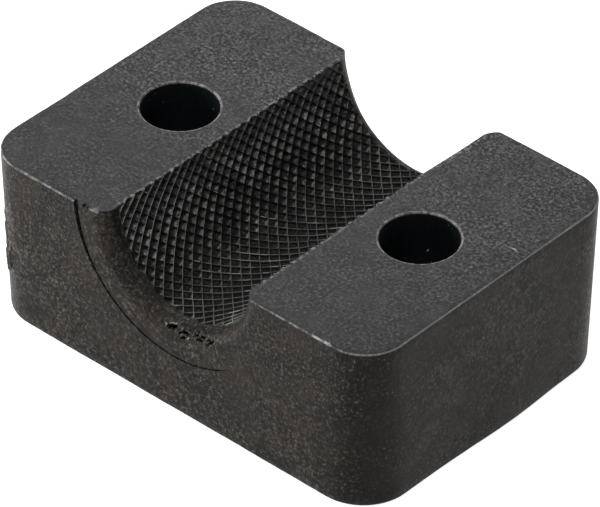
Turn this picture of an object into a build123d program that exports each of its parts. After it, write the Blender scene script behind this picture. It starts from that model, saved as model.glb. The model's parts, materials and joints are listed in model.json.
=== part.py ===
from build123d import *

import math
import os

# Half of a two-bolt hydraulic tube clamp, moulded in one piece.  X runs from bolt to bolt, Y along the
# tube and Z up out of the saddle.  The origin is at the middle of the base.  Lengths are in millimetres.

# Block
BLOCK_LENGTH = 42.0
BLOCK_WIDTH = 30.0
BLOCK_HEIGHT = 15.8
CORNER_RADIUS = 4.1
SIDE_DRAFT_IN = 0.15
TOP_EDGE_RADIUS = 0.15
BASE_EDGE_RADIUS = 0.3

# Bolt holes
BOLT_SPACING = 26.0
BOLT_HOLE_DIAMETER = 6.6
HOLE_EDGE_BREAK = 0.12

# Saddle for the tube
TUBE_DIAMETER = 15.0
TUBE_AXIS_RISE = 0.35
MOUTH_RADIUS = 1.4
MOUTH_FACE_DIAMETER = 21.3
MOUTH_FACE_DEPTH = 0.15

# Knurl in the saddle
KNURL_PITCH = 0.8
KNURL_DEPTH = 0.4
KNURL_CREST_RELIEF = 0.02
PLAIN_BAND_WIDTH = 0.3
NET_OVERRUN_STEPS = 4

# Derived places
SIDE_DRAFT_ANGLE = math.degrees(math.atan(SIDE_DRAFT_IN / BLOCK_HEIGHT))
TUBE_RADIUS = TUBE_DIAMETER / 2
TUBE_AXIS_HEIGHT = BLOCK_HEIGHT + TUBE_AXIS_RISE
MOUTH_FACE_AT = BLOCK_WIDTH / 2 - MOUTH_FACE_DEPTH
MOUTH_START = MOUTH_FACE_AT - MOUTH_RADIUS
CELL_DIAGONAL = KNURL_PITCH * math.sqrt(2)
NET_STEP = CELL_DIAGONAL / 2
KNURL_ROWS = math.floor(2 * (MOUTH_START - PLAIN_BAND_WIDTH) / CELL_DIAGONAL)
KNURL_LENGTH = KNURL_ROWS * CELL_DIAGONAL
CUT_PAST = 1.0


def block():
    """Body that draws in a little from the parting face to the base, with rounded corners and edges."""
    base = Rectangle(BLOCK_LENGTH - 2 * SIDE_DRAFT_IN, BLOCK_WIDTH - 2 * SIDE_DRAFT_IN)
    body = extrude(base, BLOCK_HEIGHT, taper=-SIDE_DRAFT_ANGLE)
    upright_edges = body.edges().group_by(Axis.Z)[1]
    body = fillet(upright_edges, CORNER_RADIUS)
    body = fillet(body.faces().sort_by(Axis.Z)[0].edges(), BASE_EDGE_RADIUS)
    return fillet(body.faces().sort_by(Axis.Z)[-1].edges(), TOP_EDGE_RADIUS)


def bolt_hole():
    """Straight bolt hole with its edge slightly broken at the base and the top, as the solid it removes."""
    radius = BOLT_HOLE_DIAMETER / 2
    edge = radius + HOLE_EDGE_BREAK
    profile = Polyline(
        (0, 0),
        (edge, 0),
        (radius, HOLE_EDGE_BREAK),
        (radius, BLOCK_HEIGHT - HOLE_EDGE_BREAK),
        (edge, BLOCK_HEIGHT),
        (0, BLOCK_HEIGHT),
        close=True,
    )
    return revolve(Plane.XZ * make_face(profile), Axis.Z)


def saddle_end():
    """One end of the saddle as the solid it removes: plain band, rounded mouth and shallow sunk face."""
    knurl_end = KNURL_LENGTH / 2
    outside = BLOCK_WIDTH / 2 + CUT_PAST
    face_radius = MOUTH_FACE_DIAMETER / 2
    mouth_start = (TUBE_RADIUS, MOUTH_START)
    mouth_end = (TUBE_RADIUS + MOUTH_RADIUS, MOUTH_FACE_AT)
    band = Polyline((0, outside), (0, knurl_end), (TUBE_RADIUS, knurl_end), mouth_start)
    mouth = TangentArc(mouth_start, mouth_end, tangent=(0, 1))
    face = Polyline(mouth_end, (face_radius, MOUTH_FACE_AT), (face_radius, outside), (0, outside))
    return revolve(make_face([band, mouth, face]), Axis.Y)


def net_point(radius, column, row):
    """Point of the knurl's net about the tube axis: columns count round from the bottom, rows along Y."""
    turn = column * NET_STEP / TUBE_RADIUS
    return Vector(radius * math.sin(turn), row * NET_STEP, -radius * math.cos(turn))


def knurl_core():
    """Faceted core that moulds the net of crests: a four-sided pyramid stands on it for each pit.

    The net's points with an even sum of column and row are where two crests cross, and those with an
    odd sum are the tips of the pits.  A fan of facets to one hub on the tube axis closes the core.
    """
    crest = TUBE_RADIUS + KNURL_CREST_RELIEF
    last_column = math.ceil(math.pi / 2 * TUBE_RADIUS / NET_STEP) + NET_OVERRUN_STEPS
    last_row = KNURL_ROWS + NET_OVERRUN_STEPS
    hub = net_point(0, 0, 0)
    facets = []
    for column in range(-last_column, last_column + 1):
        for row in range(-last_row, last_row + 1):
            if (column + row) % 2 == 0:
                continue
            tip = net_point(crest + KNURL_DEPTH, column, row)
            for across, up in ((1, 1), (-1, 1), (-1, -1), (1, -1)):
                crossings = [net_point(crest, column + across, row), net_point(crest, column, row + up)]
                facets.append(Face(Wire.make_polygon([*crossings, tip])))
                if abs(column + across) > last_column or abs(row + up) > last_row:
                    facets.append(Face(Wire.make_polygon([*crossings, hub])))
    return Solid(Shell(facets))


def saddle_middle():
    """The knurled length of the saddle as the solid it removes: the core's skin round a plain cylinder."""
    across = 4 * TUBE_RADIUS
    knurled = Box(across, KNURL_LENGTH, across) & knurl_core()
    return knurled + Rot(90, 0, 0) * Cylinder(TUBE_RADIUS - KNURL_DEPTH, KNURL_LENGTH)


def clamp_half():
    """The whole moulding."""
    body = block()
    for side in (-1, 1):
        body -= Pos(side * BOLT_SPACING / 2, 0, 0) * bolt_hole()
    end = saddle_end()
    for cut in (end, end.mirror(Plane.XZ), saddle_middle()):
        body -= Pos(0, 0, TUBE_AXIS_HEIGHT) * cut
    return body


if __name__ == "__main__":
    os.makedirs("parts", exist_ok=True)
    export_step(clamp_half(), "parts/clamp_half.step")
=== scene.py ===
"""Looks of one moulded half of a two-bolt hydraulic tube clamp.

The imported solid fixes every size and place.  This script dresses it: the moulding is modelled again with
its fine knurl, soft edges, ring groove and small knocks, given a grained dark plastic, and stood on a
white table in plain studio light.  Shapes are worked out in millimetres and scaled to metres once.
"""

import json
import logging
import math
from dataclasses import dataclass
from enum import Enum
from typing import Iterable, Sequence

import bmesh
import bpy
from mathutils import Matrix, Vector, noise


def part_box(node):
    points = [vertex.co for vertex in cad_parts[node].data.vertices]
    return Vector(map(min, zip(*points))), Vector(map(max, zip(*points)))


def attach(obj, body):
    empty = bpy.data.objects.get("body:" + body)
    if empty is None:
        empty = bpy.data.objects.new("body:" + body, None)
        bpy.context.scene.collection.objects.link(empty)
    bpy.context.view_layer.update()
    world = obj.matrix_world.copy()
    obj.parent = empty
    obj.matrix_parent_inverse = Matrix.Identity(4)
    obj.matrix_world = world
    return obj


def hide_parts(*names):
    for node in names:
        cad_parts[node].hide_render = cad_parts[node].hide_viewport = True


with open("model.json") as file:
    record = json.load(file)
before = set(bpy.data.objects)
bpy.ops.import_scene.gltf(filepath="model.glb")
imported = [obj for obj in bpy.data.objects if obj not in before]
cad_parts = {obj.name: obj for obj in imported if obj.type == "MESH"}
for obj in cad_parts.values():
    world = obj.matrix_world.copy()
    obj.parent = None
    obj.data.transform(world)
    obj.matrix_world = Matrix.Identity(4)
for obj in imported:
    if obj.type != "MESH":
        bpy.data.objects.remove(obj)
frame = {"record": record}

LOG = logging.getLogger("tube_clamp_half")
MM = 0.001
NODE = "clamp_half"
# Attribute of the knocks' pale lips, partly painted highlight, and, below 0, the painted shadow in their hollows.
KNOCK_PALE_AND_SHADOW = "rubbed"
SEED = 8
SAME_PLACE = 1e-4
FLARE_ALONG = (2.0, 13.0)
VECTORS = ("Vector", "Flare", "Diagonals")
GRAIN = {"Grain Scale": 3.6, "Patch Scale": 0.2, "Patchiness": 0.6, "Speck Amount": 0.9}

Shape = bmesh.types.BMesh
Triple = tuple[float, float, float]
Span = tuple[float, float]
Fade = tuple[float, ...]


def smooth_ramp(value: float, low: float, high: float) -> float:
    """Ease from 0 at low to 1 at high, for low above or below high.

    Args:
        value: Where to read the ramp.
        low: Value at which the ramp is 0.
        high: Value at which the ramp is 1.

    Returns:
        A number from 0 to 1.
    """
    share = min(1.0, max(0.0, (value - low) / (high - low)))
    return share * share * (3 - 2 * share)


# Forms


def round_edges(shape: Shape, edges: list, radius: float, segments: int) -> None:
    """Round the given edges of a shape with one radius."""
    bmesh.ops.bevel(shape, geom=edges, offset=radius, offset_type="OFFSET", affect="EDGES", segments=segments,
                    profile=0.5, material=-1, clamp_overlap=True)


def slice_shape(shape: Shape, spot: Vector, normal: Vector, near: float = SAME_PLACE, clear: bool = False) -> None:
    """Slice a shape by a plane, and drop what lies outside it if clear."""
    whole = shape.verts[:] + shape.edges[:] + shape.faces[:]
    bmesh.ops.bisect_plane(shape, geom=whole, dist=near, plane_co=spot, plane_no=normal, clear_outer=clear)


def add_object(name: str, data: bpy.types.ID) -> bpy.types.Object:
    """Add an object to the scene."""
    made = bpy.data.objects.new(name, data)
    bpy.context.scene.collection.objects.link(made)
    return made


def put_object(name: str, shape: Shape) -> bpy.types.Object:
    """Turn a shape into a new object of the scene."""
    mesh = bpy.data.meshes.new(name)
    shape.to_mesh(mesh)
    shape.free()
    return add_object(name, mesh)


@dataclass
class Block:
    """Outer body of the moulding before its saddle and holes are cut, in millimetres."""

    half_length: float
    half_width: float
    height: float
    top_corner: float = 3.8
    base_corner: float = 4.5
    draft_in: float = 0.15
    top_edge: float = 0.16
    base_edge: float = 0.3
    corner_segments: int = 14
    edge_segments: int = 4
    slice_step: float = 0.75
    layers: int = 16
    waviness: float = 0.045
    slow_wave: float = 0.22
    quick_wave: float = 1.1
    quick_share: float = 0.45
    quick_start: Triple = (31, 7, 3)
    wavy_band: Span = (-0.6, -0.2)
    foot_swell: float = 0.3
    foot_place: float = 2.5
    foot_reach: float = 5
    foot_rise: Span = (9, 0)

    def build(self) -> Shape:
        """Model the body.

        Returns:
            A closed mesh, sliced finely enough to take small dents.
        """
        shape = bmesh.new()
        size = Matrix.Diagonal((2 * self.half_length, 2 * self.half_width, self.height, 1))
        bmesh.ops.create_cube(shape, size=1.0, matrix=Matrix.Translation((0, 0, self.height / 2)) @ size)
        uprights = [edge for edge in shape.edges if abs(edge.verts[0].co.z - edge.verts[1].co.z) > 1]
        round_edges(shape, uprights, self.top_corner, self.corner_segments)
        for level, radius in ((self.height, self.top_edge), (0.0, self.base_edge)):
            rim = [edge for edge in shape.edges if all(abs(vert.co.z - level) < SAME_PLACE for vert in edge.verts)]
            round_edges(shape, rim, radius, self.edge_segments)
        self._slice(shape)
        for vert in shape.verts:
            vert.co = self._weathered(self._drafted(vert.co))
        return shape

    def _slice(self, shape: Shape) -> None:
        """Cut the body by planes across each axis, so that its faces can bend a little."""
        spans = ((0, self.half_length), (1, self.half_width))
        cuts = [(axis, step * self.slice_step) for axis, half in spans
                for step in range(-int(half / self.slice_step), int(half / self.slice_step) + 1)]
        cuts += [(2, self.height * step / self.layers) for step in range(1, self.layers)]
        for axis, place in cuts:
            normal = Vector((0, 0, 0))
            normal[axis] = 1
            slice_shape(shape, normal * place, normal)

    def _drafted(self, spot: Vector) -> Vector:
        """Lean the walls in towards the base and open the corner radius from top to base."""
        share = 1 - spot.z / self.height
        corner = self.top_corner + (self.base_corner - self.top_corner) * share
        stretch = corner / self.top_corner
        moved = Vector(spot)
        for axis, half in ((0, self.half_length), (1, self.half_width)):
            straight = half - self.top_corner
            new_straight = half - self.draft_in * share - corner
            reach = abs(spot[axis])
            new_reach = reach * new_straight / straight
            if reach > straight:
                new_reach = new_straight + (reach - straight) * stretch
            moved[axis] = math.copysign(new_reach, spot[axis])
        return moved

    def _weathered(self, spot: Vector) -> Vector:
        """Let the side walls and edges wander a little and one foot swell, with the top and base kept flat."""
        slow = noise.noise_vector(spot * self.slow_wave) * self.waviness
        quick = noise.noise_vector(spot * self.quick_wave + Vector(self.quick_start))
        outside = max(abs(spot.x) - self.half_length, abs(spot.y) - self.half_width)
        shift = (slow + quick * self.waviness * self.quick_share) * smooth_ramp(outside, *self.wavy_band)
        if spot.x > self.half_length - 1:
            bulge = math.exp(-((spot.y - self.foot_place) / self.foot_reach) ** 2)
            shift.x += self.foot_swell * bulge * smooth_ramp(spot.z, *self.foot_rise)
        shift.z = min(0.0, shift.z)
        if spot.z < self.base_edge:
            shift.z = 0.0
        return spot + shift


@dataclass
class BoltHole:
    """Straight bolt hole with a lightly broken edge, as the solid that it removes, in millimetres."""

    place: Vector
    radius: float
    height: float
    edge_break: float = 0.12
    steps: int = 64

    def build(self) -> Shape:
        """Spin the hole's profile about its axis.

        Returns:
            A closed plug that stands past both faces of the block.
        """
        wide = self.radius + 2 * self.edge_break
        ledge = self.edge_break
        profile = ((0, -1), (wide, -1), (wide, -ledge), (self.radius, ledge),
                   (self.radius, self.height - ledge), (wide, self.height + ledge),
                   (wide, self.height + 1), (0, self.height + 1))
        shape = bmesh.new()
        verts = [shape.verts.new((x, 0, z)) for x, z in profile]
        edges = [shape.edges.new(pair) for pair in zip(verts, verts[1:])]
        bmesh.ops.spin(shape, geom=verts + edges, axis=(0, 0, 1), cent=(0, 0, 0), angle=math.tau,
                       steps=self.steps, use_merge=True)
        bmesh.ops.remove_doubles(shape, verts=shape.verts, dist=SAME_PLACE)
        bmesh.ops.translate(shape, verts=shape.verts, vec=self.place)
        bmesh.ops.recalc_face_normals(shape, faces=shape.faces)
        return shape


@dataclass
class Smear:
    """Place on the knurl where its crests were dragged aside, in millimetres on the unrolled wall."""

    across: float
    along: float
    reach: float
    drag: Vector
    flatten: float


@dataclass
class Mouth:
    """One end of the saddle: the knurl dies out, the wall rounds over and meets a sunk face, in millimetres.

    The sunk face is a ring whose outer step stands beside a groove.  It is sunk by depth round the bottom
    and grows shallow on the left and on the right, between the two angles in degrees given for each.  The
    groove grows wider on the left, between the angles of groove_turn.
    """

    side: int
    knurl_end: float
    rounding: float
    depth: float
    shallow: float
    left_rise: Span
    right_rise: Span
    groove_depth: float
    face_radius: float = 10.65
    groove_width: float = 0.13
    groove_growth: float = 1.2
    groove_turn: Span = (35, 88)
    rise_start: float = 0.3
    past: float = 1.0
    slices: int = 10

    def stations(self, tube_radius: float, half_width: float) -> list[float]:
        """Unrolled distances from the middle at which the wall's profile bends.

        Args:
            tube_radius: Radius of the wall.
            half_width: Half of the block's width.

        Returns:
            Steps of the rounding, both sides of the groove and the end.
        """
        start = half_width - self.depth - self.rounding
        turned = [start + self.rounding * math.pi / 2 * step / self.slices for step in range(self.slices + 1)]
        groove = turned[-1] + self.face_radius - self.groove_width - tube_radius - self.rounding
        return [*turned, groove, groove + self.groove_width, groove + self.groove_width + self.past]

    def profile(self, far: float, turn: float, tube_radius: float, half_width: float) -> Span:
        """Radius and place along the tube of a point of the wall.

        Args:
            far: Unrolled distance from the middle.
            turn: Angle round the tube from the bottom.
            tube_radius: Radius of the wall.
            half_width: Half of the block's width.

        Returns:
            The radius about the tube's axis and the distance from the middle.
        """
        stations = self.stations(tube_radius, half_width)
        start = stations[0]
        turned, groove, outer = stations[-4:-1]
        angle = math.degrees(turn)
        sunk = smooth_ramp(-angle, *reversed(self.left_rise)) * smooth_ramp(angle, *reversed(self.right_rise))
        rise = (1 - sunk) * (self.depth - self.shallow)
        width = self.groove_width * (1 + self.groove_growth * smooth_ramp(-angle, *self.groove_turn))
        radius, along = tube_radius, far
        if far > start:
            bend = min(math.pi / 2, (far - start) / self.rounding)
            radius += self.rounding * (1 - math.cos(bend))
            along = start + self.rounding * math.sin(bend) + rise * smooth_ramp(bend, self.rise_start, math.pi / 2)
        if far > turned:
            radius += min(1.0, (far - turned) / (groove - turned)) * (self.face_radius - width - radius)
        if far > groove:
            share = min(1.0, (far - groove) / self.groove_width)
            radius = self.face_radius - width * (1 - share)
            along -= self.groove_depth * sunk * share
        if far > outer:
            face = half_width - self.depth + rise
            along = face + (half_width + self.past - face) * (far - outer) / self.past
        return radius, along


@dataclass
class Saddle:
    """Knurled seat for the tube with its mouths, as the solid that it removes, in millimetres.

    The wall is modelled flat: x runs round the tube, y along it and z out into the plastic.  It is then
    rolled about the tube's axis, with the parts past the knurl turned out over the rounded mouths.  The
    flare shifts the far end by x and by the axis height, and widens it.
    """

    tube_radius: float
    axis_height: float
    half_width: float
    mouths: Sequence[Mouth]
    smears: Sequence[Smear] = ()
    pitch: float = 0.8
    pit_wall: float = 0.13
    pit_wall_depth: float = 0.26
    pit_depth: float = 0.42
    crest_width: float = 0.07
    fade: float = 0.35
    ragged_end: float = 0.25
    widest_turn: float = math.radians(101)
    edge_turn: float = math.radians(74)
    edge_fade: float = math.radians(12)
    edge_wear: float = 0.45
    corner_wear: float = 0.5
    corner_turn: Span = (0, 1)
    corner_along: Span = (3, 7)
    waver: float = 0.03
    waver_scale: float = 0.8
    tremor: float = 0.018
    tremor_scale: float = 3.1
    uneven: float = 0.12
    uneven_scale: float = 0.5
    smear_scale: float = 1.3
    slice_near: float = 1e-5
    flare: Triple = (0.12, -0.12, 0.2)
    flare_fade: Span = (3, 1)

    def build(self) -> Shape:
        """Model the core that moulds the saddle.

        Returns:
            A closed mesh that reaches past the block's ends and above its top.
        """
        shape = bmesh.new()
        self._net(shape)
        self._trim(shape)
        for vert in shape.verts:
            vert.co = self._rolled(self._worn(vert.co))
        self._close(shape)
        return shape

    def _ends(self, mouth: Mouth) -> list[float]:
        """Unrolled stations of one mouth."""
        return mouth.stations(self.tube_radius, self.half_width)

    def _mouth(self, spot: Vector) -> Mouth:
        """Mouth at the end of the wall where a point lies."""
        return next(mouth for mouth in self.mouths if mouth.side * spot.y >= 0)

    def _net(self, shape: Shape) -> None:
        """Lay the square net at 45 degrees, sink a steep pit in each cell and round the crests."""
        reach = self.widest_turn * self.tube_radius + max(self._ends(mouth)[-1] for mouth in self.mouths)
        cells = 2 * math.ceil(reach / math.sqrt(2) / self.pitch)
        bmesh.ops.create_grid(shape, x_segments=cells, y_segments=cells, size=cells * self.pitch / 2)
        bmesh.ops.rotate(shape, verts=shape.verts, cent=(0, 0, 0), matrix=Matrix.Rotation(math.pi / 4, 3, "Z"))
        crests = [edge for edge in shape.edges if len(edge.link_faces) == 2]
        floors = shape.faces[:]
        bmesh.ops.inset_individual(shape, faces=floors, thickness=self.pit_wall, depth=0)
        inner = list(dict.fromkeys(vert for face in floors for vert in face.verts))
        bmesh.ops.translate(shape, verts=inner, vec=(0, 0, self.pit_wall_depth))
        sunk = bmesh.ops.poke(shape, faces=floors)["verts"]
        bmesh.ops.translate(shape, verts=sunk, vec=(0, 0, self.pit_depth - self.pit_wall_depth))
        round_edges(shape, crests, self.crest_width / 2, 2)

    def _trim(self, shape: Shape) -> None:
        """Clip the net to the unrolled wall and slice it where the mouths' profile bends."""
        wide = self.widest_turn * self.tube_radius
        for side in (-1, 1):
            slice_shape(shape, Vector((side * wide, 0, 0)), Vector((side, 0, 0)), self.slice_near, clear=True)
        for mouth in self.mouths:
            normal = Vector((0, mouth.side, 0))
            *bends, end = self._ends(mouth)
            slice_shape(shape, normal * end, normal, self.slice_near, clear=True)
            for bend in bends:
                slice_shape(shape, normal * bend, normal, self.slice_near)

    def _worn(self, spot: Vector) -> Vector:
        """Unrolled place of a point once the pits die out at the mouths and edges and the crests waver."""
        ragged = noise.noise(Vector((spot.x * 0.9, spot.y * 0.05, 4.0))) * self.ragged_end
        knurl_end = self._mouth(spot).knurl_end + ragged
        depth = smooth_ramp(abs(spot.y), knurl_end + self.fade / 2, knurl_end - self.fade / 2)
        turn = spot.x / self.tube_radius
        high = smooth_ramp(abs(turn), self.edge_turn, self.edge_turn + self.edge_fade)
        in_corner = smooth_ramp(turn, *self.corner_turn) * smooth_ramp(spot.y, *self.corner_along)
        rubbed = self.edge_wear + self.corner_wear * in_corner
        waver = noise.noise_vector(Vector((spot.x, spot.y, 0)) * self.waver_scale) * self.waver
        tremor = noise.noise_vector(Vector((spot.x, spot.y, 9)) * self.tremor_scale) * self.tremor
        shift = Vector((waver.x + tremor.x, waver.y + tremor.y, 0)) * depth
        uneven = 1 + self.uneven * noise.noise(Vector((spot.x, spot.y, 17)) * self.uneven_scale)
        level = spot.z * depth * (1 - rubbed * high) * uneven
        for smear in self.smears:
            near = math.hypot(spot.x - smear.across, spot.y - smear.along) / smear.reach
            pull = math.exp(-near * near)
            tangle = noise.noise(Vector((spot.x * self.smear_scale, spot.y * self.smear_scale, 40)))
            shift += smear.drag * pull * tangle
            level *= 1 - smear.flatten * pull
        return Vector((spot.x, spot.y, level)) + shift

    def _rolled(self, spot: Vector) -> Vector:
        """Place of an unrolled point on the real wall."""
        turn = spot.x / self.tube_radius
        radius, along = self._mouth(spot).profile(abs(spot.y), turn, self.tube_radius, self.half_width)
        wide, narrow = (self.tube_radius + step for step in self.flare_fade)
        open_share = smooth_ramp(spot.y, *FLARE_ALONG) * smooth_ramp(radius, wide, narrow)
        flare = Vector(self.flare) * open_share
        radius += spot.z + flare.z
        high = self.axis_height - radius * math.cos(turn) + flare.y
        return Vector((radius * math.sin(turn) + flare.x, math.copysign(along, spot.y), high))

    def _close(self, shape: Shape) -> None:
        """Close the wall to the tube's axis."""
        rim = [edge for edge in shape.edges if edge.is_boundary]
        grown = bmesh.ops.extrude_edge_only(shape, edges=rim)["geom"]
        for vert in grown:
            if isinstance(vert, bmesh.types.BMVert):
                vert.co = Vector((0, vert.co.y, self.axis_height))
        bmesh.ops.remove_doubles(shape, verts=shape.verts, dist=SAME_PLACE)
        bmesh.ops.recalc_face_normals(shape, faces=shape.faces)


@dataclass
class Knock:
    """Small ragged crater, slit or burr with a raised, paler lip on one side, in millimetres, the lip partly
    whitened and partly a painted highlight, and the hollow darkened by painted shadow.

    A negative depth raises a burr.  Run is the way in which it is stretched, and tatter is how fine the
    slits are that stand for one hollow.  The spans are in shares of the reach or of the slits' pattern.
    """

    centre: Triple
    reach: float
    depth: float
    lip: float = 0.05
    pale: float = 0.3
    # dark paints shadow into the hollow.
    dark: float = 0.0
    tatter: float = 0.0
    run: Triple = (1, 0, 0)
    stretch: float = 1.0
    # lip_side: the side of the lip that is painted paler, partly as a highlight.
    lip_side: Triple = (-0.41, 0.46, 0.79)
    seed: float = 0.0
    farthest: float = 1.7
    hollow_span: Span = (0.95, 0.5)
    lip_span: Span = (1.05, 0.14)
    slit_span: Span = (0.06, 0.28)
    slit_lip_span: Span = (-0.02, 0.09)
    slit_toward: float = 0.7

    def at(self, spot: Vector) -> Span:
        """Read the knock at one point of the surface.

        Args:
            spot: Point on the surface.

        Returns:
            How far the surface rises there and how pale it is, partly as a painted highlight, or below 0 how dark it
            is with painted shadow.
        """
        away = spot - Vector(self.centre)
        run = Vector(self.run)
        away = away + run * away.dot(run) * (1 / self.stretch - 1)
        if away.length > self.farthest * self.reach:
            return 0.0, 0.0
        drift = Vector((self.seed, 0.7 * self.seed, 0))
        ragged = away.length / self.reach + 0.5 * noise.noise(spot * (1.3 / self.reach) + drift)
        ragged += 0.25 * noise.noise(spot * (3.5 / self.reach) + drift)
        rough = noise.noise(spot * (5 / self.reach) - drift)
        hollow = smooth_ramp(ragged, *self.hollow_span)
        lip = self._crest(ragged, self.lip_span)
        toward = max(0.0, away.normalized().dot(Vector(self.lip_side)))
        if self.tatter:
            pattern = noise.noise(away * self.tatter + drift) + 0.5 * noise.noise(spot * 2 * self.tatter + drift)
            lip = self._crest(pattern, self.slit_lip_span) * hollow
            hollow, toward = hollow * smooth_ramp(pattern, *self.slit_span), self.slit_toward
        rise = self.lip * lip * (0.3 + toward) - self.depth * hollow * (1 + 0.6 * rough)
        # A burr is painted pale all over; a hollow gets a pale lip on lip_side and painted shadow inside.
        if self.depth < 0:
            return rise, self.pale * hollow * (1 + rough)
        return rise, self.pale * lip * toward * (1 + rough) - self.dark * hollow

    @staticmethod
    def _crest(value: float, span: Span) -> float:
        """Bell with its top at the span's first number and as wide as its second."""
        return math.exp(-((value - span[0]) / span[1]) ** 2)


NEAR_MOUTH = Mouth(
    side=-1, knurl_end=13.0, rounding=1.4, depth=0.15, shallow=0.02, left_rise=(170, 180), right_rise=(8, 48),
    groove_depth=0.3,
)
FAR_MOUTH = Mouth(
    side=1, knurl_end=13.65, rounding=1.0, depth=0.45, shallow=0.08, left_rise=(40, 75), right_rise=(50, 80),
    groove_depth=0.0,
)
SMEARS = (
    Smear(-0.4, 0.8, 1.0, Vector((0.5, 0.3, 0)), 0.15),
    Smear(1.2, 0.6, 0.8, Vector((0.4, -0.4, 0)), 0.1),
    Smear(3.2, -12.2, 1.2, Vector((0.5, 0.3, 0)), 0.2),
)
# dark puts painted shadow in the torn hollows.
TORN = {"run": Vector((0.93, 0.33, 0.14)).normalized(), "dark": 1.0}
SLITS = {**TORN, "lip": 0.09, "pale": 0.4}
UPRIGHT = {"run": (0, 0, 1)}
TORN_PATCH = (
    Knock((-0.40, -14.50, 8.14), 0.26, 0.34, lip=0.14, pale=2.0, stretch=2.2, seed=3.0, **TORN),
    Knock((-0.50, -14.60, 8.06), 0.11, -0.20, pale=1.2, seed=4.0),
    Knock((0.95, -14.50, 8.14), 0.50, 0.34, tatter=4.5, stretch=1.7, seed=9.0, **SLITS),
    Knock((2.45, -14.46, 8.56), 0.56, 0.36, tatter=4.5, stretch=2.2, seed=21.0, **SLITS),
    Knock((3.80, -14.64, 8.86), 0.46, 0.26, lip=0.07, pale=0.3, tatter=5.0, stretch=1.7, seed=27.0, **TORN),
    Knock((1.55, -14.67, 8.08), 0.14, -0.12, pale=0.7, seed=16.0),
)
# dark puts painted shadow in the dents on the top edge.
TOP_EDGE_KNOCKS = (
    Knock((-9.62, -14.80, 15.80), 0.18, 0.28, lip=0.03, pale=0.2, dark=0.8, seed=33.0),
    Knock((-9.30, -14.85, 15.78), 0.18, 0.28, lip=0.03, pale=0.2, dark=0.8, seed=37.0),
    Knock((-8.50, -14.78, 15.74), 0.20, -0.06, pale=0.35, stretch=3.0, seed=39.0),
    Knock((15.50, -14.97, 15.79), 0.13, -0.03, pale=0.9, stretch=5.0, seed=40.0),
    Knock((16.50, -14.94, 15.79), 0.15, -0.03, pale=0.7, stretch=4.0, seed=44.0),
    Knock((19.45, 3.90, 15.80), 0.10, -0.02, pale=0.8, stretch=1.8, seed=52.0),
)
LEFT_CORNER_KNOCKS = (
    Knock((-19.15, -14.20, 9.2), 0.55, 0.08, lip=0.06, pale=0.2, seed=56.0),
    Knock((-19.15, -14.15, 7.0), 0.75, 0.12, lip=0.08, pale=0.2, stretch=1.8, seed=58.0, **UPRIGHT),
    Knock((-19.35, -13.95, 4.9), 1.00, -0.13, pale=0.02, stretch=1.3, seed=61.0, **UPRIGHT),
    Knock((-18.30, -14.60, 5.6), 0.55, 0.10, lip=0.10, pale=0.3, stretch=1.6, seed=66.0, **UPRIGHT),
)


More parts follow.
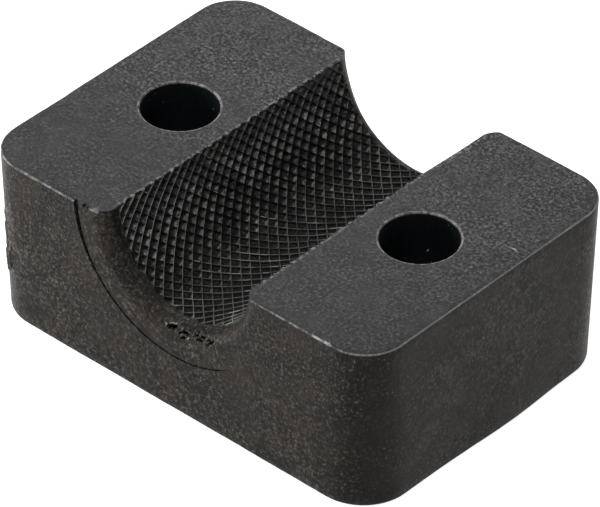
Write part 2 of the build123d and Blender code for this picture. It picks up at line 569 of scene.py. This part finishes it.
@dataclass
class ClampMoulding:
    """The whole moulding: body, saddle, bolt holes and the knocks that it has taken, on a finer surface."""

    name: str
    block: Block
    saddle: Saddle
    holes: Sequence[BoltHole]
    knocks: Sequence[Knock]
    sharp_angle: float = math.radians(27)
    finer_rounds: int = 4
    longest_edge: float = 0.4
    finer_reach: float = 1.6

    def build(self) -> bpy.types.Object:
        """Cut the body, press the knocks and shade it.

        Returns:
            The finished piece in metres, with its place in its mesh.
        """
        body = put_object(self.name, self.block.build())
        cutters = [put_object("saddle_cut", self.saddle.build())]
        cutters += [put_object(f"hole_cut_{count}", hole.build()) for count, hole in enumerate(self.holes)]
        for cutter in cutters:
            cut = body.modifiers.new(cutter.name, "BOOLEAN")
            cut.operation, cut.solver, cut.object = "DIFFERENCE", "EXACT", cutter
        mesh = bpy.data.meshes.new_from_object(body.evaluated_get(bpy.context.evaluated_depsgraph_get()))
        body.modifiers.clear()
        for cutter in cutters:
            bpy.data.objects.remove(cutter)
        self._knock(mesh)
        mesh.transform(Matrix.Scale(MM, 4))
        body.data = mesh
        mesh.shade_smooth()
        mesh.set_sharp_from_angle(angle=self.sharp_angle)
        return body

    def _knock(self, mesh: bpy.types.Mesh) -> None:
        """Press the knocks into a finer patch of the surface and store how pale, partly a painted highlight, or how
        dark with painted shadow they leave it.
        """
        shape = bmesh.new()
        shape.from_mesh(mesh)
        self._order(shape)
        bmesh.ops.remove_doubles(shape, verts=shape.verts, dist=2 * SAME_PLACE)
        for finer in range(self.finer_rounds):
            near = [edge for edge in shape.edges if self._struck(edge, self.longest_edge / 2 ** finer)]
            bmesh.ops.subdivide_edges(shape, edges=near, cuts=1, use_grid_fill=True)
        shape.normal_update()
        # Pale marks, partly painted highlight, and painted shadow below 0.
        rubbed = shape.verts.layers.float.new(KNOCK_PALE_AND_SHADOW)
        for vert in shape.verts:
            marks = [knock.at(vert.co) for knock in self.knocks]
            vert[rubbed] = min(1.0, max(-1.0, sum(pale for _, pale in marks)))
            vert.co += vert.normal * sum(rise for rise, _ in marks)
        self._mend(shape)
        shape.to_mesh(mesh)
        shape.free()

    @staticmethod
    def _order(shape: Shape) -> None:
        """List the points, edges and faces by their place, as the Boolean's own order varies from run to run."""
        for parts in (shape.verts, shape.edges, shape.faces):
            places = {}
            for part in parts:
                corners = getattr(part, "verts", (part,))
                middle = sum((vert.co for vert in corners), Vector()) / len(corners)
                places[part] = tuple(round(value, 4) for value in middle)
            for rank, part in enumerate(sorted(places, key=places.get)):
                part.index = rank
            parts.sort()

    def _struck(self, edge: bmesh.types.BMEdge, longest: float) -> bool:
        """Is the edge in a knock's reach and still longer than wanted?"""
        middle = (edge.verts[0].co + edge.verts[1].co) / 2
        return edge.calc_length() > longest and any(
            (middle - Vector(knock.centre)).length < self.finer_reach * knock.reach * knock.stretch
            for knock in self.knocks
        )

    @staticmethod
    def _mend(shape: Shape) -> None:
        """Split many-sided and dented faces, then take out flaps and faces of no area.

        A flap is two faces on the same corners that hang from one edge of the surface.
        """
        bent = [face for face in shape.faces
                if len(face.verts) > 4 or not all(loop.is_convex for loop in face.loops)]
        bmesh.ops.triangulate(shape, faces=bent)
        flaps = [
            face for edge in shape.edges if len(edge.link_faces) > 2 for face in edge.link_faces
            if sum(set(face.verts) == set(other.verts) for other in edge.link_faces) > 1
        ]
        bmesh.ops.delete(shape, geom=list(dict.fromkeys(flaps)), context="FACES")
        bmesh.ops.dissolve_degenerate(shape, dist=SAME_PLACE, edges=shape.edges)


# Finishes


class Value:
    """Output of a node, from which sums, eased ramps and patterns are wired on."""

    def __init__(self, wires: "Wires", socket: bpy.types.NodeSocket | None) -> None:
        """Hold one output of a node."""
        self.wires, self.socket = wires, socket

    def __getitem__(self, name: str | int) -> "Value":
        """Another output of the same node."""
        return Value(self.wires, self.socket.node.outputs[name])

    def __add__(self, other: object) -> "Value":
        """Sum of both."""
        return self.wires.math("ADD", self, other)

    def __sub__(self, other: object) -> "Value":
        """What is left once the other is taken away."""
        return self.wires.math("SUBTRACT", self, other)

    def __rsub__(self, other: object) -> "Value":
        """What is left of the other."""
        return self.wires.math("SUBTRACT", other, self)

    def __mul__(self, other: object) -> "Value":
        """Product of both."""
        return self.wires.math("MULTIPLY", self, other)

    def __or__(self, other: object) -> "Value":
        """Greater of both."""
        return self.wires.math("MAXIMUM", self, other)

    def __abs__(self) -> "Value":
        """Value without its sign."""
        return self.wires.math("ABSOLUTE", self)

    def ramp(self, low: object, high: object, start: float = 0.0, end: float = 1.0) -> "Value":
        """Ease a value.

        Args:
            low: Value that gives start.
            high: Value that gives end.
            start: Result at low.
            end: Result at high.

        Returns:
            The eased value.
        """
        spans = {"Value": self, "From Min": low, "From Max": high, "To Min": start, "To Max": end}
        return self.wires.add("MapRange", spans, interpolation_type="SMOOTHSTEP")["Result"]

    def vector(self, operation: str, second: object = None) -> "Value":
        """Change a vector and return the output that the operation fills."""
        sockets = {0: self}
        if second is not None:
            sockets["Scale" if operation == "SCALE" else 1] = second
        changed = self.wires.add("VectorMath", sockets, operation=operation)
        return changed["Value" if operation in ("LENGTH", "DISTANCE") else "Vector"]

    def split(self) -> list["Value"]:
        """X, Y and Z of a vector."""
        parts = self.wires.add("SeparateXYZ", {0: self})
        return [parts[axis] for axis in "XYZ"]

    def noise(self, scale: object, detail: float, rough: float) -> "Value":
        """Noise on a vector."""
        sockets = {"Vector": self, "Scale": scale, "Detail": detail, "Roughness": rough}
        return self.wires.add("TexNoise", sockets)["Fac"]

    def patches(self, scale: float, detail: float, rough: float, *fade: float) -> "Value":
        """Noise on a vector, eased by a fade."""
        return self.noise(scale, detail, rough).ramp(*fade)

    def chance(self) -> "Value":
        """Random share of 1 that belongs to a vector."""
        return self.wires.add("TexWhiteNoise", {"Vector": self}, noise_dimensions="3D")["Value"]


class Wires:
    """Short way to add nodes to a tree and join them."""

    def __init__(self, tree: bpy.types.NodeTree) -> None:
        """Work on one tree."""
        self.tree = tree

    def add(self, kind: str, sockets: dict | None = None, **settings: object) -> Value:
        """Add a node.

        Args:
            kind: Node type without the ShaderNode prefix.
            sockets: Values or settings by the name or index of an input.
            settings: Properties of the node.

        Returns:
            The new node's first output, which leads to the others.
        """
        node = self.tree.nodes.new("ShaderNode" + kind)
        for key, value in settings.items():
            setattr(node, key, value)
        for key, value in (sockets or {}).items():
            if isinstance(value, Value):
                self.tree.links.new(value.socket, node.inputs[key])
            else:
                node.inputs[key].default_value = value
        return Value(self, next(iter(node.outputs), None))

    def math(self, operation: str, *values: object) -> Value:
        """Add a Math node."""
        return self.add("Math", dict(enumerate(values)), operation=operation)

    def join(self, *values: object) -> Value:
        """Vector of the given values."""
        return self.add("CombineXYZ", dict(enumerate(values)))

    def coat(self, colour: object, *coats: tuple) -> Value:
        """Lay coats of paint on a colour, each a mask and a colour.  A colour is a value or three numbers."""
        for mask, paint in coats:
            sides = [side if isinstance(side, Value) else (*side, 1.0) for side in (colour, paint)]
            colour = self.add("Mix", {"Factor": mask, 6: sides[0], 7: sides[1]}, data_type="RGBA")[2]
        return colour

    def seen(self) -> Value:
        """Add a Light Path that gives 1 for rays that show a thing as it is seen or mirrored, else 0."""
        rays = self.add("LightPath")
        return rays["Is Camera Ray"] | (rays["Is Glossy Ray"] | rays["Is Transmission Ray"])


class GroupWires(Wires):
    """Wires of a new shader node group."""

    def __init__(self, name: str, *inputs: str) -> None:
        """Make the group with its inputs."""
        super().__init__(bpy.data.node_groups.new(name, "ShaderNodeTree"))
        self._sockets("INPUT", inputs)
        self.given = Value(self, self.tree.nodes.new("NodeGroupInput").outputs[0])

    def _sockets(self, side: str, labels: Iterable[str]) -> None:
        """Add named sockets, each a vector if VECTORS lists it and else a number."""
        for label in labels:
            kind = "NodeSocketVector" if label in VECTORS else "NodeSocketFloat"
            self.tree.interface.new_socket(name=label, in_out=side, socket_type=kind)

    def finish(self, results: dict[str, Value]) -> bpy.types.NodeTree:
        """Give the group its outputs and return it."""
        self._sockets("OUTPUT", results)
        end = self.tree.nodes.new("NodeGroupOutput")
        for label, value in results.items():
            self.tree.links.new(value.socket, end.inputs[label])
        return self.tree


def clear_wires(owner: bpy.types.Material | bpy.types.World) -> Wires:
    """Empty a tree and return its wires."""
    owner.use_nodes = True
    owner.node_tree.nodes.clear()
    return Wires(owner.node_tree)


@dataclass(frozen=True)
class GrainGroup:
    """Node group for a moulded grain on a vector in millimetres."""

    grain: Span = (3.0, 0.75)
    blotch: Fade = (0.45, 6.0, 0.75)
    patch: Span = (3.0, 0.6)
    patch_fade: Span = (0.38, 0.62)
    mottle_fade: Span = (0.34, 0.66)
    peak_fade: Span = (0.57, 0.70)
    speck_cells: float = 1.9
    speck_radius: float = 0.2
    speck_edge: float = 0.03
    speck_core: float = 0.4
    speck_chance: Span = (0.5, 0.9)
    speck_height: float = 0.4

    def build(self) -> bpy.types.NodeTree:
        """Wire the group.

        Returns:
            Group for a mottle and a slow blotch, both about 0.5, a mask of pale specks and a height.
        """
        wires = GroupWires(
            "moulded_grain", "Vector", "Grain Scale", "Patch Scale", "Patchiness", "Speck Amount", "Activity")
        given = wires.given
        spot = given["Vector"]
        fine = spot.noise(given["Grain Scale"], *self.grain)
        patch = spot.noise(given["Patch Scale"], *self.patch).ramp(*self.patch_fade)
        active = (1.0 - given["Patchiness"] * (1.0 - patch)) * given["Activity"]
        cells = wires.add("TexVoronoi", {"Vector": spot, "Scale": self.speck_cells, "Randomness": 1.0}, feature="F1")
        chance = cells["Position"].chance()
        reach = wires.math("POWER", chance, 3.0) * self.speck_radius
        lone = cells["Distance"].ramp(reach + self.speck_edge, reach * self.speck_core)
        lone = lone * chance.ramp(*self.speck_chance) * given["Speck Amount"]
        return wires.finish({
            "Mottle": (fine.ramp(*self.mottle_fade) - 0.5) * active + 0.5, "Blotch": spot.noise(*self.blotch),
            "Specks": fine.ramp(*self.peak_fade) * active | lone, "Height": fine * active + lone * self.speck_height,
        })


@dataclass(frozen=True)
class BlockZones:
    """Node group for the block's zones on a vector in millimetres."""

    core: float = 0.4
    hole_side: Span = (0.05, -0.02)
    hole_depth: Span = (0.02, 0.35)

    def build(self) -> bpy.types.NodeTree:
        """Wire the group.

        Returns:
            Group for masks of the top edge, of the bolt holes' rims and of the holes' walls.
        """
        wires = GroupWires("block_zones", "Vector", "Half Length", "Half Width", "Corner", "Top", "Hole Offset",
                           "Hole Radius", "Width")
        given = wires.given
        x, y, z = given["Vector"].split()
        past_x = abs(x) - (given["Half Length"] - given["Corner"])
        past_y = abs(y) - (given["Half Width"] - given["Corner"])
        past_both = wires.join(past_x | 0.0, past_y | 0.0).vector("LENGTH")
        wall = past_both + wires.math("MINIMUM", past_x | past_y, 0.0) - given["Corner"]
        depth = given["Top"] - z
        fade = (given["Width"], given["Width"] * self.core)
        past_rim = wires.join(abs(x) - given["Hole Offset"], y).vector("LENGTH") - given["Hole Radius"]
        return wires.finish({
            "Edge": (wall * -1.0 | depth).ramp(*fade), "Hole Rim": (abs(past_rim) | abs(depth)).ramp(*fade),
            # Hole Wall: where shade is painted down the holes.
            "Hole Wall": past_rim.ramp(*self.hole_side) * depth.ramp(*self.hole_depth),
        })


@dataclass(frozen=True)
class KnurlZones:
    """Node group for the saddle's zones on a vector in millimetres.

    Fades are read on how far a point is sunk below the crests, on the angle round the tube, on the place
    inside one cell of the net, from 0 to 1, or on the cell's own random number.
    """

    wall_reach: Span = (0.45, 0.2)
    end_fade: Span = (-0.25, 0.25)
    # The knurl's dark colour reaches past its near end up the left wall as a painted shadow over the mouth's
    # rounding.
    painted_shadow_turn: Fade = (-0.7, -1.1, 0.0, 0.9)
    top_fade: Span = (0.0, 0.06)
    pit_fade: Span = (0.02, 0.12)
    crest_fade: Span = (0.09, 0.03)
    family_fade: Span = (0.03, -0.03)
    flank_lean: float = 0.35
    flank_fade: Span = (0.90, 1.08)
    flank_side: Span = (0.08, 0.36)
    flank_chance: Fade = (0.0, 1.0, 0.3, 1.0)
    # Sparks are painted glints on a few crests.
    spark_chance: Span = (0.955, 0.965)
    spark_length: Span = (0.34, 0.24)
    spark_width: Span = (0.3, 0.1)
    lip_sunk: Span = (0.45, 0.2)
    lip_depth: Span = (0.22, 0.04)

    def build(self) -> bpy.types.NodeTree:
        """Wire the group.

        Returns:
            Group for masks of the knurled zone, whose dark reaches on past the near end up the left wall as painted
            shadow, of its pits, of its lip at the top and of its two families of crests, those that run down the
            wall towards the near mouth and those that run across them, with the angle round the tube, the place
            along both families, painted highlights on the flanks of the pits and a few painted glints on the crests.
        """
        wires = GroupWires("knurl_zones", "Vector", "Axis Height", "Tube Radius", "Pit Depth", "Near End",
                           "Far End", "Top", "Pitch", "Flare")
        given = wires.given
        x, y, z = given["Vector"].split()
        flare_x, flare_z, flare_wide = given["Flare"].vector("SCALE", y.ramp(*FLARE_ALONG)).split()
        x = x - flare_x
        drop = given["Axis Height"] + flare_z - z
        sunk = wires.join(x, drop).vector("LENGTH") - given["Tube Radius"] - flare_wide
        turn = wires.math("ARCTAN2", x, drop)
        below_top = given["Top"] - z
        from_end = y + given["Near End"]
        front = from_end.ramp(*self.end_fade)
        back = (y - given["Far End"]).ramp(*reversed(self.end_fade))
        wall = sunk.ramp(*(given["Pit Depth"] + reach for reach in self.wall_reach)) * back
        wall = wall * below_top.ramp(*self.top_fade)
        knurl = wall * front
        crests = sunk.ramp(*self.crest_fade) * knurl
        round_way = turn * given["Tube Radius"]
        both = [(round_way + y) * math.sqrt(0.5), (round_way - y) * math.sqrt(0.5)]
        off_steep, off_level = (wires.math("PINGPONG", way, given["Pitch"] * 0.5) for way in both)
        steep = (off_steep - off_level).ramp(*self.family_fade)
        diagonals = wires.join(*both)
        flank, spark = self._cells(diagonals.vector("SCALE", wires.math("DIVIDE", 1.0, given["Pitch"])))
        return wires.finish({
            # Knurl carries the painted shadow past the near end on the left wall.
            "Knurl": wall * (from_end + turn.ramp(*self.painted_shadow_turn)).ramp(*self.end_fade),
            "Pits": sunk.ramp(*self.pit_fade) * knurl, "Steep Crests": crests * steep,
            "Level Crests": crests * (1.0 - steep), "Turn": turn, "Diagonals": diagonals,
            "Lip": front * back * sunk.ramp(*self.lip_sunk) * below_top.ramp(*self.lip_depth),
            "Flanks": flank * knurl, "Sparks": spark * crests,
        })

    def _cells(self, place: Value) -> Sequence[Value]:
        """Painted highlight on the flank of each pit that would catch the light, by its cell's chance, and the
        painted glints on the crests.
        """
        across, down, _ = place.vector("FRACTION").split()
        chance = place.vector("FLOOR").chance()
        flank = (across + down * self.flank_lean).ramp(*self.flank_fade) * down.ramp(*self.flank_side)
        spark = chance.ramp(*self.spark_chance) * abs(across - 0.5).ramp(*self.spark_length)
        return flank * chance.ramp(*self.flank_chance), spark * down.ramp(*self.spark_width)


@dataclass
class Reading:
    """What the finish reads at a point of the moulding: places, masks and the node groups."""

    spot: Value
    along: Value
    top: Value
    end: Value
    side: Value
    corner: Value
    calm: Value
    grain: Value
    zones: Value
    knurl: Value


@dataclass(frozen=True)
class MouldedPlastic:
    """Dark moulded polypropylene with a fine grain, pale specks and rubbed edges and crests, with painted light on
    the top, painted highlights on its edges, crests and pit flanks and painted shade in its pits, knocks and holes.

    A fade holds the two values between which a mask rises or falls and, where they aren't 0 and 1, what it
    is there.  In patches the noise's scale, detail and roughness come first.  Places are in millimetres.
    """

    # The top is lighter than the walls partly as a matt face and partly as painted light on the faces that turn up.
    top_matt_and_lit_colour: Triple = (0.040, 0.038, 0.040)
    wall_colour: Triple = (0.023, 0.020, 0.017)
    brown_colour: Triple = (0.0230, 0.0188, 0.0148)
    scuff_colour: Triple = (0.085, 0.072, 0.058)
    # Dark glossy knurl, its colour darkened further as painted shade in its pits.
    knurl_colour: Triple = (0.012, 0.012, 0.011)
    # Painted highlight on the flanks of the pits that face the light.
    flank_highlight_colour: Triple = (0.20, 0.20, 0.197)
    # Painted shade down the bolt holes and in the knocks' hollows.
    deep_shade_colour: Triple = (0.006, 0.009, 0.0105)
    speck_colour: Triple = (0.26, 0.26, 0.255)
    # Worn edges, with a painted highlight along them and along the saddle's lip.
    edge_wear_and_highlight_colour: Triple = (0.50, 0.50, 0.48)
    # Crests are rubbed paler and also carry painted glints where they would catch the light.
    crest_wear_and_glint_colour: Triple = (0.42, 0.42, 0.41)
    # Pale whitened plastic at the knocks, and painted glints, streaks and sparks on the crests.
    pale_and_glint_colour: Triple = (0.75, 0.74, 0.71)

    facing_up: Span = (0.5, 0.9)
    below_top: Span = (0.6, 0.2)
    before_end: Span = (2.5, 0.6)
    corner_inset: float = 1.0
    calm_top: Fade = (6.0, -8.0, 0.2, 0.8)
    calm_side: float = 0.6
    activity: float = 1.35
    edge_width: float = 0.17

    brown_patches: Fade = (0.45, 3.0, 0.6, 0.45, 0.62)
    corner_brown: Span = (14.0, 4.0)
    scuff_place: Triple = (21.0, 3.0, 3.5)
    scuff_shape: Triple = (0.4, 1.0, 0.22)
    scuff_reach: Span = (1.5, 0.2)
    scuff_patches: Fade = (2.4, 5.0, 0.75, 0.42, 0.7)
    flank_low: Fade = (0.1, -0.45, 0.4, 1.0)
    flank_high: Fade = (-1.35, -1.05, 0.35, 1.0)
    flank_patches: Fade = (3.4, 3.0, 0.7, 0.38, 0.62, 0.35, 1.65)

    mottle_shade: Fade = (0.0, 1.0, 0.4, 1.7)
    blotch_shade: Fade = (0.36, 0.64, 0.65, 1.35)
    # Painted shade: darker towards the front of the top and on the end.
    calm_painted_shade: Span = (1.12, 0.42)
    # Painted shade on the near right corner.
    corner_shade: Fade = (8.0, 1.5, 1.0, 0.66)
    side_patches: Fade = (0.22, 3.0, 0.7, 0.36, 0.64, -0.24, 0.34)

    speck_share: float = 0.5
    speckless_pits: float = 0.7
    # Where each family of crests gets its painted glint, by the angle round the tube.
    steep_turn: Span = (-0.75, -0.3)
    steep_along: Span = (-3.0, -10.0)
    level_turn: Span = (-0.65, -0.2)
    crest_patches: Fade = (0.55, 4.0, 0.7, 0.35, 0.70, 0.4, 1.0)
    streak_shape: Triple = (0.35, 1.6, 1.0)
    streak_noise: Triple = (1.0, 2.0, 0.6)
    streak_fade: Span = (0.58, 0.66)
    glint_streak_place: Triple = (-2.0, -4.8, 8.9)
    glint_streak_reach: Fade = (4.5, 1.0, 0.0, 0.1)

    edge_patches: Fade = (2.2, 4.0, 0.7, 0.38, 0.64, 0.12, 1.0)
    end_edge_wear_and_highlight: float = 0.6
    lip_patches: Fade = (2.6, 2.0, 0.6, 0.45, 0.62)
    lip_wear_and_highlight: float = 0.6
    wear_and_highlight: float = 0.9
    # Painted shadow in the knocks' hollows.
    torn_hollow_shadow: Span = (0.0, -0.8)
    hole_flecks: Fade = (2.6, 2.0, 0.5, 0.72, 0.78)

    roughness: Fade = (0.0, 1.0, 0.58, 0.36)
    knurl_smoother: float = 0.1
    gloss: float = 0.12
    refraction: float = 1.49
    bump: float = 0.6
    bump_height: float = 0.03

    def build(self, block: Block, hole: BoltHole, saddle: Saddle) -> bpy.types.Material:
        """Wire the material.

        Args:
            block: Body whose edges are worn and carry a painted highlight.
            hole: One of the bolt holes.
            saddle: Saddle whose crests are rubbed and carry painted glints.

        Returns:
            The material.
        """
        material = bpy.data.materials.new("moulded_plastic_dark")
        wires = clear_wires(material)
        at = self._read(wires, block, hole, saddle)
        colour = self._plain(wires, at).vector("SCALE", self._shade(at))
        colour = self._marks(wires, at, self._crests(wires, at, colour))
        rough = at.grain["Mottle"].ramp(*self.roughness) - at.knurl["Knurl"] * self.knurl_smoother
        bump = wires.add("Bump", {
            "Strength": self.bump, "Distance": self.bump_height * MM, "Height": at.grain["Height"],
        })
        shader = wires.add("BsdfPrincipled", {
            "Base Color": colour, "Roughness": rough, "Normal": bump,
            "IOR": self.refraction, "Specular IOR Level": self.gloss,
        })
        wires.add("OutputMaterial", {"Surface": shader})
        return material

    def _read(self, wires: Wires, block: Block, hole: BoltHole, saddle: Saddle) -> Reading:
        """Wire the places, masks and groups that the other steps share."""
        spot = wires.add("TexCoord")["Object"].vector("SCALE", 1 / MM)
        x, y, z = spot.split()
        up = wires.add("NewGeometry")["Normal"].split()[2]
        top = up.ramp(*self.facing_up) * z.ramp(*(block.height - step for step in self.below_top))
        end = x.ramp(*(block.half_length - step for step in self.before_end))
        side = end * (1.0 - top)
        corner = spot.vector("MULTIPLY", (1.0, 1.0, 0.0)).vector(
            "DISTANCE", (block.half_length - self.corner_inset, self.corner_inset - block.half_width, 0.0))
        calm = y.ramp(*self.calm_top) * top | side * self.calm_side
        grain = wires.add("Group", {
            "Vector": spot, **GRAIN, "Activity": self.activity - calm,
        }, node_tree=GrainGroup().build())
        zones = wires.add("Group", {
            "Vector": spot, "Half Length": block.half_length, "Half Width": block.half_width,
            "Corner": block.top_corner, "Top": block.height, "Hole Offset": abs(hole.place.x),
            "Hole Radius": hole.radius + hole.edge_break / 2, "Width": self.edge_width,
        }, node_tree=BlockZones().build())
        knurl = wires.add("Group", {
            "Vector": spot, "Axis Height": saddle.axis_height, "Tube Radius": saddle.tube_radius,
            "Pit Depth": saddle.pit_depth, "Near End": NEAR_MOUTH.knurl_end, "Far End": FAR_MOUTH.knurl_end,
            "Top": block.height, "Pitch": saddle.pitch, "Flare": saddle.flare,
        }, node_tree=KnurlZones().build())
        return Reading(spot, y, top, end, side, corner, calm, grain, zones, knurl)

    def _plain(self, wires: Wires, at: Reading) -> Value:
        """Colours of the walls, the top with its painted light, the scuff on the end, the knurl with painted shade
        in its pits and the painted highlights on the flanks of its pits.
        """
        brown = at.spot.patches(*self.brown_patches) | at.corner.ramp(*self.corner_brown)
        scuffed = at.spot.vector("SUBTRACT", self.scuff_place).vector("MULTIPLY", self.scuff_shape)
        scuff = scuffed.vector("LENGTH").ramp(*self.scuff_reach) * scuffed.patches(*self.scuff_patches)
        # Painted highlight on the pits' flanks, strongest on the left wall.
        lit = at.knurl["Turn"].ramp(*self.flank_low) * at.knurl["Turn"].ramp(*self.flank_high)
        flanks = at.knurl["Flanks"] * lit * at.spot.patches(*self.flank_patches)
        return wires.coat(
            self.wall_colour, (brown, self.brown_colour), (at.top, self.top_matt_and_lit_colour), (scuff, self.scuff_colour),
            (at.knurl["Knurl"], self.knurl_colour), (flanks, self.flank_highlight_colour),
        )

    def _shade(self, at: Reading) -> Value:
        """How much lighter or darker the grain and its blotches make the colour, with painted shade towards the
        front of the top, on the end and at the near corner.
        """
        most, less = self.calm_painted_shade
        shade = at.grain["Mottle"].ramp(*self.mottle_shade) * at.grain["Blotch"].ramp(*self.blotch_shade)
        # Painted shade towards the front of the top, on the end and at the near corner.
        shade = shade * (most - at.calm * less) * at.corner.ramp(*self.corner_shade)
        return shade * (at.spot.patches(*self.side_patches) * at.side + 1.0)

    def _crests(self, wires: Wires, at: Reading, colour: Value) -> Value:
        """Add the specks, the rubbed crests with their painted glints, and painted highlight streaks and sparks
        along the crests.
        """
        turn, plain = at.knurl["Turn"], 1.0 - at.knurl["Pits"] * self.speckless_pits
        specks = at.grain["Specks"] * self.speck_share * plain
        steep = turn.ramp(*self.steep_turn) | at.along.ramp(*self.steep_along)
        level = turn.ramp(*self.level_turn) * at.knurl["Level Crests"]
        crests = (steep * at.knurl["Steep Crests"] | level) * at.spot.patches(*self.crest_patches)
        # Painted highlight streaks, made stronger round one place.
        dragged = at.spot.vector("DISTANCE", self.glint_streak_place).ramp(*self.glint_streak_reach)
        streak = at.knurl["Diagonals"].vector("MULTIPLY", self.streak_shape).noise(*self.streak_noise) + dragged
        glint_lines = streak.ramp(*self.streak_fade) * level | at.knurl["Sparks"]
        return wires.coat(
            colour, (specks, self.speck_colour), (crests, self.crest_wear_and_glint_colour), (glint_lines, self.pale_and_glint_colour))

    def _marks(self, wires: Wires, at: Reading, colour: Value) -> Value:
        """Add the worn edges with their painted highlight, the knocks with their pale marks and painted shadow, and
        the painted shade down the holes with their flecks.
        """
        # Edges, hole rims and the saddle's lip: wear with a painted highlight.
        edges = at.zones["Edge"] | at.zones["Hole Rim"]
        edges = edges * (at.spot.patches(*self.edge_patches) | at.end * self.end_edge_wear_and_highlight)
        lip = at.knurl["Lip"] * at.spot.patches(*self.lip_patches) * self.lip_wear_and_highlight
        # rubbed reads the knocks' pale marks, partly painted highlight, and below 0 their painted shadow.
        rubbed, hole = wires.add("Attribute", attribute_name=KNOCK_PALE_AND_SHADOW)["Fac"], at.zones["Hole Wall"]
        # The holes' walls get painted shade, with pale flecks on it.
        return wires.coat(
            colour, ((edges | lip) * self.wear_and_highlight, self.edge_wear_and_highlight_colour), (rubbed | 0.0, self.pale_and_glint_colour),
            (rubbed.ramp(*self.torn_hollow_shadow), self.deep_shade_colour), (hole, self.deep_shade_colour),
            (at.spot.patches(*self.hole_flecks) * hole, self.pale_and_glint_colour),
        )


# Studio


class Lamp(Enum):
    """Soft lamps of the studio: place in millimetres, size in millimetres and power in watts."""

    OVERHEAD = ((-130.0, 140.0, 170.0), 130.0, 0.19)
    FRONT = ((20.0, -140.0, 230.0), 80.0, 0.16)
    LEFT = ((-110.0, -80.0, 40.0), 70.0, 0.10)
    RIGHT = ((240.0, 60.0, 60.0), 140.0, 0.05)


@dataclass
class Studio:
    """White table, soft lamps and the camera.

    The table's size is in metres, other lengths are in millimetres, and the view's turn, rise and roll are in
    degrees.
    """

    middle: Vector
    table_size: float = 3.0
    table_drop: float = 0.02
    table_colour: Fade = (0.8, 0.8, 0.8, 1)
    table_glow: float = 0.9
    white: Fade = (1, 1, 1, 1)
    fill: float = 0.14
    view: Triple = (42.035, 37.859, 0.159)
    distance: float = 528.98
    offset: Span = (0.135, -6.626)
    lens: float = 394.8
    sensor: float = 36.0

    def build(self) -> None:
        """Set up the table, the lamps, the world and the camera."""
        self._table()
        for lamp in Lamp:
            self._lamp(lamp)
        self._world()
        self._camera()
        bpy.context.scene.view_settings.view_transform = "Standard"

    def _table(self) -> None:
        """White table that catches the moulding's shadow and is clear from below."""
        shape = bmesh.new()
        level = Matrix.Translation((0, 0, -self.table_drop * MM))
        bmesh.ops.create_grid(shape, x_segments=1, y_segments=1, size=self.table_size / 2, matrix=level)
        table = put_object("table", shape)
        material = bpy.data.materials.new("white_table")
        wires = clear_wires(material)
        matt = wires.add("BsdfDiffuse", {"Color": self.table_colour})
        glow = wires.add("Emission", {"Color": self.white, "Strength": wires.seen() * self.table_glow})
        below = wires.add("NewGeometry")["Backfacing"]
        sides = {0: below, 1: wires.add("AddShader", {0: matt, 1: glow}), 2: wires.add("BsdfTransparent")}
        wires.add("OutputMaterial", {"Surface": wires.add("MixShader", sides)})
        table.data.materials.append(material)

    def _lamp(self, lamp: Lamp) -> None:
        """Hang one soft lamp that points at the moulding."""
        place, size, power = lamp.value
        light = bpy.data.lights.new(lamp.name.lower(), "AREA")
        light.shape, light.size, light.energy = "DISK", size * MM, power
        hung = add_object(light.name, light)
        hung.location = Vector(place) * MM
        hung.rotation_euler = (self.middle - hung.location).to_track_quat("-Z", "Y").to_euler()

    def _world(self) -> None:
        """Plain pale surroundings, white where they are seen."""
        world = bpy.data.worlds.new("studio")
        bpy.context.scene.world = world
        wires = clear_wires(world)
        strength = wires.seen() * (1 - self.fill) + self.fill
        back = wires.add("Background", {"Color": self.white, "Strength": strength})
        wires.add("OutputWorld", {"Surface": back})

    def _camera(self) -> None:
        """Camera that looks down on the near corner from a distance."""
        turn, rise, roll = (math.radians(angle) for angle in self.view)
        axes = Matrix.Rotation(turn, 3, "Z") @ Matrix.Rotation(math.pi / 2 - rise, 3, "X")
        axes = axes @ Matrix.Rotation(roll, 3, "Z")
        spot = self.middle + axes @ Vector((*self.offset, self.distance)) * MM
        camera = bpy.data.cameras.new("camera")
        camera.lens, camera.sensor_width, camera.clip_start = self.lens, self.sensor, 10 * MM
        holder = add_object("camera", camera)
        holder.matrix_world = Matrix.Translation(spot) @ axes.to_4x4()
        bpy.context.scene.camera = holder


def main() -> None:
    """Build the moulding and the studio, and note the model's size."""
    logging.basicConfig(level=logging.INFO, format="%(name)s: %(message)s")
    noise.seed_set(SEED)
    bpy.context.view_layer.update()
    _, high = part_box(NODE)
    mounts = {mount["name"]: mount for mount in frame["record"]["mounts"]}
    seat, bolts = mounts["tube_saddle"], mounts["bolt_holes"]
    block = Block(round(high.x / MM, 1), round(high.y / MM, 1), high.z / MM)
    saddle = Saddle(seat["dims"]["r_mm"], seat["pos_m"][2] / MM, block.half_width, (NEAR_MOUTH, FAR_MOUTH), SMEARS)
    offset = bolts["dims"]["spacing_x_mm"] / 2
    holes = [BoltHole(Vector((side * offset, 0, 0)), bolts["dims"]["hole_r_mm"], block.height) for side in (-1, 1)]
    knocks = (*TORN_PATCH, *TOP_EDGE_KNOCKS, *LEFT_CORNER_KNOCKS)
    piece = ClampMoulding("moulding", block, saddle, holes, knocks).build()
    piece.data.materials.clear()
    piece.data.materials.append(MouldedPlastic().build(block, holes[0], saddle))
    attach(piece, "root")
    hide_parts(NODE)
    LOG.info("%s: %d faces", piece.name, len(piece.data.polygons))
    Studio(middle=Vector((0, 0, high.z))).build()
    LOG.info("table, lamps and camera set")


if __name__ == "__main__":
    main()
